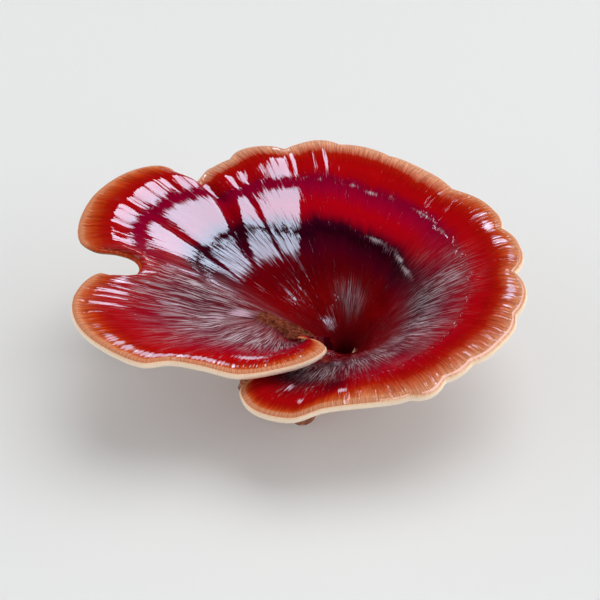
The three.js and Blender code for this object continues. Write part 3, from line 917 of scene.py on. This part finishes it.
# Painted highlights: pale glints mixed into the colour where the lacquer would catch the light.
painted_glint = add(tree, "Math", {0: painted_glint, 1: centred(brush, 1.4)}, operation="ADD").outputs[0]
painted_glint = add(tree, "MapRange", {"Value": painted_glint, "From Min": 0.42, "From Max": 0.66,
                               "To Max": 0.7}).outputs[0]
face = add(tree, "Mix", {"Factor": painted_glint, "A": face, "B": colour("e4c4d8")},
           data_type="RGBA").outputs["Result"]
tree.links.new(face, shader.inputs["Base Color"])

# %% [markdown]
# The ruffle is a tilt of the normal. Along the fibres it turns a reflection's ends into strokes, and
# across them it parts the strokes. Tilting by a set angle keeps it under control everywhere, which
# bump from a height can't do while the fibres narrow towards the throat.

# %% Ruffle of the film
ACROSS_TILT = 0.16               # tilt across the fibres and along them, as slopes
ALONG_TILT = 0.30
PITS_PER_MM = 1.5
across = add(tree, "Tangent", direction_type="UV_MAP", uv_map="growth_map").outputs[0]
upright = add(tree, "NewGeometry").outputs["Normal"]
outwards = add(tree, "VectorMath", {0: upright, 1: across}, operation="CROSS_PRODUCT").outputs[0]
tilt_a = add(tree, "VectorMath", {0: across, "Scale": centred(fibres, ACROSS_TILT)}, operation="SCALE")
tilt_b = add(tree, "VectorMath", {0: outwards, "Scale": centred(brush, ALONG_TILT)}, operation="SCALE")
tilted = add(tree, "VectorMath", {0: upright, 1: tilt_a.outputs[0]}, operation="ADD").outputs[0]
tilted = add(tree, "VectorMath", {0: tilted, 1: tilt_b.outputs[0]}, operation="ADD").outputs[0]
tilted = add(tree, "VectorMath", {0: tilted}, operation="NORMALIZE").outputs[0]

# %% Crumbs and puckers
pits = add(tree, "TexNoise", {"Vector": crumb_space, "Scale": PITS_PER_MM / MM,
                              "Detail": 2.0}).outputs["Fac"]
crumb_height = add(tree, "Math", {0: pits, 1: tear_mask}, operation="MULTIPLY").outputs[0]
crumbly = add(tree, "Bump", {"Strength": 1.0, "Distance": 0.6 * MM, "Height": crumb_height,
                             "Normal": tilted}).outputs[0]
puckers = add(tree, "MapRange", {"Value": puckers, "From Min": 0.5, "From Max": 0.7}).outputs[0]
pucker_height = add(tree, "Math", {0: puckers, 1: wrinkled}, operation="MULTIPLY").outputs[0]
ruffled = add(tree, "Bump", {"Strength": 0.8, "Distance": 0.35 * MM, "Height": pucker_height,
                             "Normal": crumbly}).outputs[0]
tree.links.new(ruffled, shader.inputs["Normal"])
tree.links.new(ruffled, shader.inputs["Coat Normal"])

# %% Thickness of the film
pleats = add(tree, "Math", {0: centred(strokes, 7.0), 1: pleated}, operation="MULTIPLY").outputs[0]
film = add(tree, "Math", {0: gloss, 1: centred(brush, 1.3)}, operation="ADD").outputs[0]
film = add(tree, "Math", {0: film, 1: pleats}, operation="ADD").outputs[0]
film = add(tree, "Math", {0: film, 1: centred(fine_lines, 0.9)}, operation="ADD").outputs[0]
film = add(tree, "MapRange", {"Value": film, "From Min": 0.35, "From Max": 0.65}).outputs[0]
bare = add(tree, "Math", {0: 1.0, 1: tear_mask}, operation="SUBTRACT").outputs[0]
film = add(tree, "Math", {0: film, 1: bare}, operation="MULTIPLY").outputs[0]
tree.links.new(film, shader.inputs["Coat Weight"])
dullness = add(tree, "Math", {0: dull_and_sheen, 1: tear_mask}, operation="MAXIMUM").outputs[0]
rough = add(tree, "MapRange", {"Value": dullness, "To Min": 0.3, "To Max": 0.6}).outputs[0]
tree.links.new(rough, shader.inputs["Roughness"])
shader.inputs["Coat Roughness"].default_value = 0.05
shader.inputs["Coat IOR"].default_value = 1.7
shader.inputs["Specular IOR Level"].default_value = 0.0
print(crust.name, "with", len(tree.nodes), "nodes")

# %% [markdown]
# ### Growing edge
# The newest growth is not varnished yet: a smooth cream edge with a satin skin. It is browner where it
# meets the crust and the pores, crossed by the ends of the fibres, and peach where it is older.

# %% Growing edge
bead, tree, shader = new_material("growing_edge")
growth = add(tree, "UVMap", uv_map="growth_map").outputs["UV"]
side, old = [add(tree, "Attribute", attribute_name=name).outputs["Fac"] for name in ("side", "old_edge")]
threads = streaks(tree, growth, FIBRE, 2.0)
blotches = streaks(tree, growth, 25.0, 1.0, detail=2.0)
side_edge = add(tree, "Math", {0: side, 1: centred(threads, 0.16)}, operation="ADD").outputs[0]
cream = bands(tree, side_edge, [
    (0.0, "b07c58"), (0.15, "eec4a0"), (0.35, "ffead0"), (0.6, "ffe6ca"), (0.72, "f8cca4"),
    (0.84, "c88050"),
])
peach = bands(tree, side_edge, [
    (0.0, "9c6448"), (0.2, "dca482"), (0.45, "eebc9c"), (0.7, "e49c78"), (0.93, "b86844"),
])
old = add(tree, "Math", {0: old, 1: centred(blotches, 0.6)}, operation="ADD", use_clamp=True).outputs[0]
skin = add(tree, "Mix", {"Factor": old, "A": cream, "B": peach}, data_type="RGBA").outputs["Result"]
tree.links.new(skin, shader.inputs["Base Color"])
ribs = add(tree, "Bump", {"Strength": 0.5, "Distance": 0.12 * MM, "Height": threads}).outputs[0]
tree.links.new(ribs, shader.inputs["Normal"])
shader.inputs["Roughness"].default_value = 0.38
shader.inputs["Coat Weight"].default_value = 0.35
shader.inputs["Coat Roughness"].default_value = 0.25
print(bead.name, "with", len(tree.nodes), "nodes")

# %% [markdown]
# ### Pore face
# The underside is a mat of tubes that open in pores, four or five to the millimetre. They are drawn
# twice as wide as that, because finer ones would be lost. It is dry and tan brown.

# %% Pores
pores, tree, shader = new_material("pore_face")
place = add(tree, "TexCoord").outputs["Object"]
PORE = 0.45 * MM
STAINS_PER_MM = 0.06
cells = add(tree, "TexVoronoi", {"Vector": place, "Scale": 1 / PORE}).outputs["Distance"]
stains = add(tree, "TexNoise", {"Vector": place, "Scale": STAINS_PER_MM / MM, "Detail": 5.0}).outputs["Fac"]
tan = bands(tree, stains, [(0.3, "7a4a30"), (0.5, "a06c48"), (0.7, "c08e64")])
hole = bands(tree, cells, [(0.12, "5a3422"), (0.4, "ffffff")])
tan = add(tree, "Mix", {"Factor": 0.8, "A": tan, "B": hole}, data_type="RGBA",
          blend_type="MULTIPLY").outputs["Result"]
tree.links.new(tan, shader.inputs["Base Color"])
pitted = add(tree, "Bump", {"Strength": 0.6, "Distance": 0.25 * MM, "Height": cells}).outputs[0]
tree.links.new(pitted, shader.inputs["Normal"])
shader.inputs["Roughness"].default_value = 0.85
print(pores.name, "with", len(tree.nodes), "nodes")

# %% [markdown]
# ### Stem bark
# The stem, the strand and the torn underside of the flap are corky tissue: matt, crumbly, dark red
# brown in the hollows and tan on the crumbs.

# %% Bark
bark, tree, shader = new_material("stem_bark")
place = add(tree, "TexCoord").outputs["Object"]
CORK_PER_MM = 0.42
cork = add(tree, "TexNoise", {"Vector": place, "Scale": CORK_PER_MM / MM, "Detail": 6.0,
                              "Roughness": 0.7}).outputs["Fac"]
grit = add(tree, "TexVoronoi", {"Vector": place, "Scale": CRUMBS_PER_MM / MM}).outputs["Distance"]
brown = bands(tree, cork, [(0.32, "60301f"), (0.46, "a05c42"), (0.58, "c48c68"), (0.72, "dcb08c")])
tree.links.new(brown, shader.inputs["Base Color"])
height = add(tree, "Math", {0: cork, 1: grit}, operation="ADD").outputs[0]
corky = add(tree, "Bump", {"Strength": 0.9, "Distance": 0.6 * MM, "Height": height}).outputs[0]
tree.links.new(corky, shader.inputs["Normal"])
shader.inputs["Roughness"].default_value = 0.9
print(bark.name, "with", len(tree.nodes), "nodes")

# %% [markdown]
# Each face of the cap takes the finish of its own side: crust above, pores below, and between them the
# growing edge. The crust laps over the top of the edge, and further over it in the bay. Under the
# inner part of the flap the pores give way to bark, because the tissue is torn there.

# %% Finishes on faces
for material in (crust, bead, pores, bark):
    cap.data.materials.append(material)
for piece in (stem, strand):
    piece.data.materials.append(bark)

CRUST, EDGE_SKIN, PORES, BARK = range(4)
BARE_SHARE = 0.78                # the crust leaves this share of the edge bare
BAY_LAP = 0.55                   # less of it is bare in the bay
RIGHT_BARE = 0.17                # more of it is bare at the front right

slots = []
for face in cap.data.polygons:
    corners = list(face.vertices)
    side = cap_side[corners].mean()
    place = cap_s[corners[0]]
    bare_share = BARE_SHARE - BAY_LAP * float(smooth_step((36 - abs(place - bay)) / 16))
    bare_share += RIGHT_BARE * float(smooth_step((66 - abs(place - 158)) / 25))
    under_flap = cap_s[corners].min() > bay + 60 and cap_v[corners].mean() < 0.6
    if side < 0.5 and under_flap:
        slots.append(BARK)
    elif cap_v[corners].min() > RIM_V and side < bare_share:
        slots.append(EDGE_SKIN)
    else:
        slots.append(CRUST if side > 0.49 else PORES)
cap.data.polygons.foreach_set("material_index", slots)
print("faces by finish:", [slots.count(k) for k in (CRUST, EDGE_SKIN, PORES, BARK)])

# %% [markdown]
# ## Floor, lights and camera
# The mushroom stands on a plain pale floor. A broad sun from behind on the right throws the soft
# shadow, and a wide ceiling, a panel on each side and an even glow fill it. None of them shows in the
# lacquer: what it mirrors is one soft box over its right side, which ends in line with its middle, so
# the left walls catch it and the right walls stay deep red, and a dim glow near the horizon on
# whatever is seen at a flat angle. With two sets of lights, form and gloss can be set apart.

# %% Floor
paper, tree, shader = new_material("pale_paper")
shader.inputs["Base Color"].default_value = colour("e0e1e1")
shader.inputs["Roughness"].default_value = 0.95
shader.inputs["Specular IOR Level"].default_value = 0.0
floor_bm = bmesh.new()
bmesh.ops.create_grid(floor_bm, x_segments=1, y_segments=1, size=6.0)
floor_mesh = bpy.data.meshes.new("floor")
floor_bm.to_mesh(floor_mesh)
floor_bm.free()
floor_mesh.materials.append(paper)
floor = bpy.data.objects.new("floor", floor_mesh)
bpy.context.scene.collection.objects.link(floor)


# %% Soft boxes
WHITE = (1.0, 1.0, 1.0)
BOX_BLUE = (0.68, 0.79, 1.0)


def soft_box(name, corner, side_a, side_b, radiance, tint):
    """A rectangular light with a corner and two sides in metres, facing down."""
    corner, side_a, side_b = Vector(corner), Vector(side_a), Vector(side_b)
    light = bpy.data.lights.new(name, "AREA")
    light.shape = "RECTANGLE"
    light.size = side_a.length
    light.size_y = side_b.length
    light.energy = radiance * math.pi * light.size * light.size_y
    light.color = tint
    lamp = bpy.data.objects.new(name, light)
    x_axis = side_a.normalized()
    z_axis = -side_a.cross(side_b).normalized()
    if z_axis.z < 0:
        z_axis = -z_axis
    y_axis = z_axis.cross(x_axis)
    lamp.rotation_euler = Matrix((x_axis, y_axis, z_axis)).transposed().to_euler()
    lamp.location = corner + (side_a + side_b) / 2
    lamp.visible_camera = False
    bpy.context.scene.collection.objects.link(lamp)
    return lamp


box_corner = (-0.045, -0.22, 0.62)
mirrored_box = soft_box("mirrored_box", box_corner, (0, 0.76, -0.09), (0.43, 0, -0.06), 9.4, BOX_BLUE)
mirrored_box.visible_diffuse = False
ceiling = soft_box("ceiling", (-2.5, -2.5, 2.2), (5, 0, 0), (0, 5, 0), 0.2, WHITE)
ceiling.visible_glossy = False
for name, x, radiance in (("right_panel", 1.3, 1.6), ("left_panel", -1.3, 1.0)):
    panel = soft_box(name, (x, -1.6, 0.02), (0, 3.2, 0), (-0.2 * x, 0, 1.2), radiance, WHITE)
    panel.visible_glossy = False

# %% Sun, glow and surroundings
TO_THE_SUN = Vector((0.24, 0.32, 0.916))

sunlight = bpy.data.lights.new("broad_sun", "SUN")
sunlight.energy = 1.36
sunlight.angle = math.radians(50)
sunlight.color = (1.0, 0.995, 0.985)
sun = bpy.data.objects.new("broad_sun", sunlight)
sun.rotation_euler = TO_THE_SUN.to_track_quat("Z", "Y").to_euler()
sun.visible_glossy = False
bpy.context.scene.collection.objects.link(sun)

glow_light = bpy.data.lights.new("even_glow", "SUN")
glow_light.energy = 0.44
glow_light.color = (0.97, 0.985, 1.0)
glow_light.use_shadow = False
even_glow = bpy.data.objects.new("even_glow", glow_light)
even_glow.visible_glossy = False
bpy.context.scene.collection.objects.link(even_glow)

world = bpy.data.worlds.new("studio")
bpy.context.scene.world = world
world.use_nodes = True
tree = world.node_tree
up = add(tree, "SeparateXYZ", {0: add(tree, "TexCoord").outputs["Generated"]}).outputs["Z"]
glow = bands(tree, up, [(0.0, "c8c4c8"), (0.15, "a8a0a8"), (0.38, "1c1a1c"), (0.6, "0c0c0c")])
tree.links.new(glow, tree.nodes["Background"].inputs["Color"])
tree.nodes["Background"].inputs["Strength"].default_value = 1.0

# %% [markdown]
# The camera looks down on the cap from the front, through a long lens that keeps its oval true.

# %% Camera
CAMERA_TILT = 52                 # degrees up from straight down

lens = bpy.data.cameras.new("camera")
lens.lens = 85
camera = bpy.data.objects.new("camera", lens)
bpy.context.scene.collection.objects.link(camera)
camera.location = (-0.004, -0.38508, 0.33911)
camera.rotation_euler = (math.radians(CAMERA_TILT), 0, 0)
bpy.context.scene.camera = camera
bpy.context.scene.view_settings.view_transform = "Standard"
print("camera", round(camera.location.length, 3), "m away, lens", lens.lens, "mm")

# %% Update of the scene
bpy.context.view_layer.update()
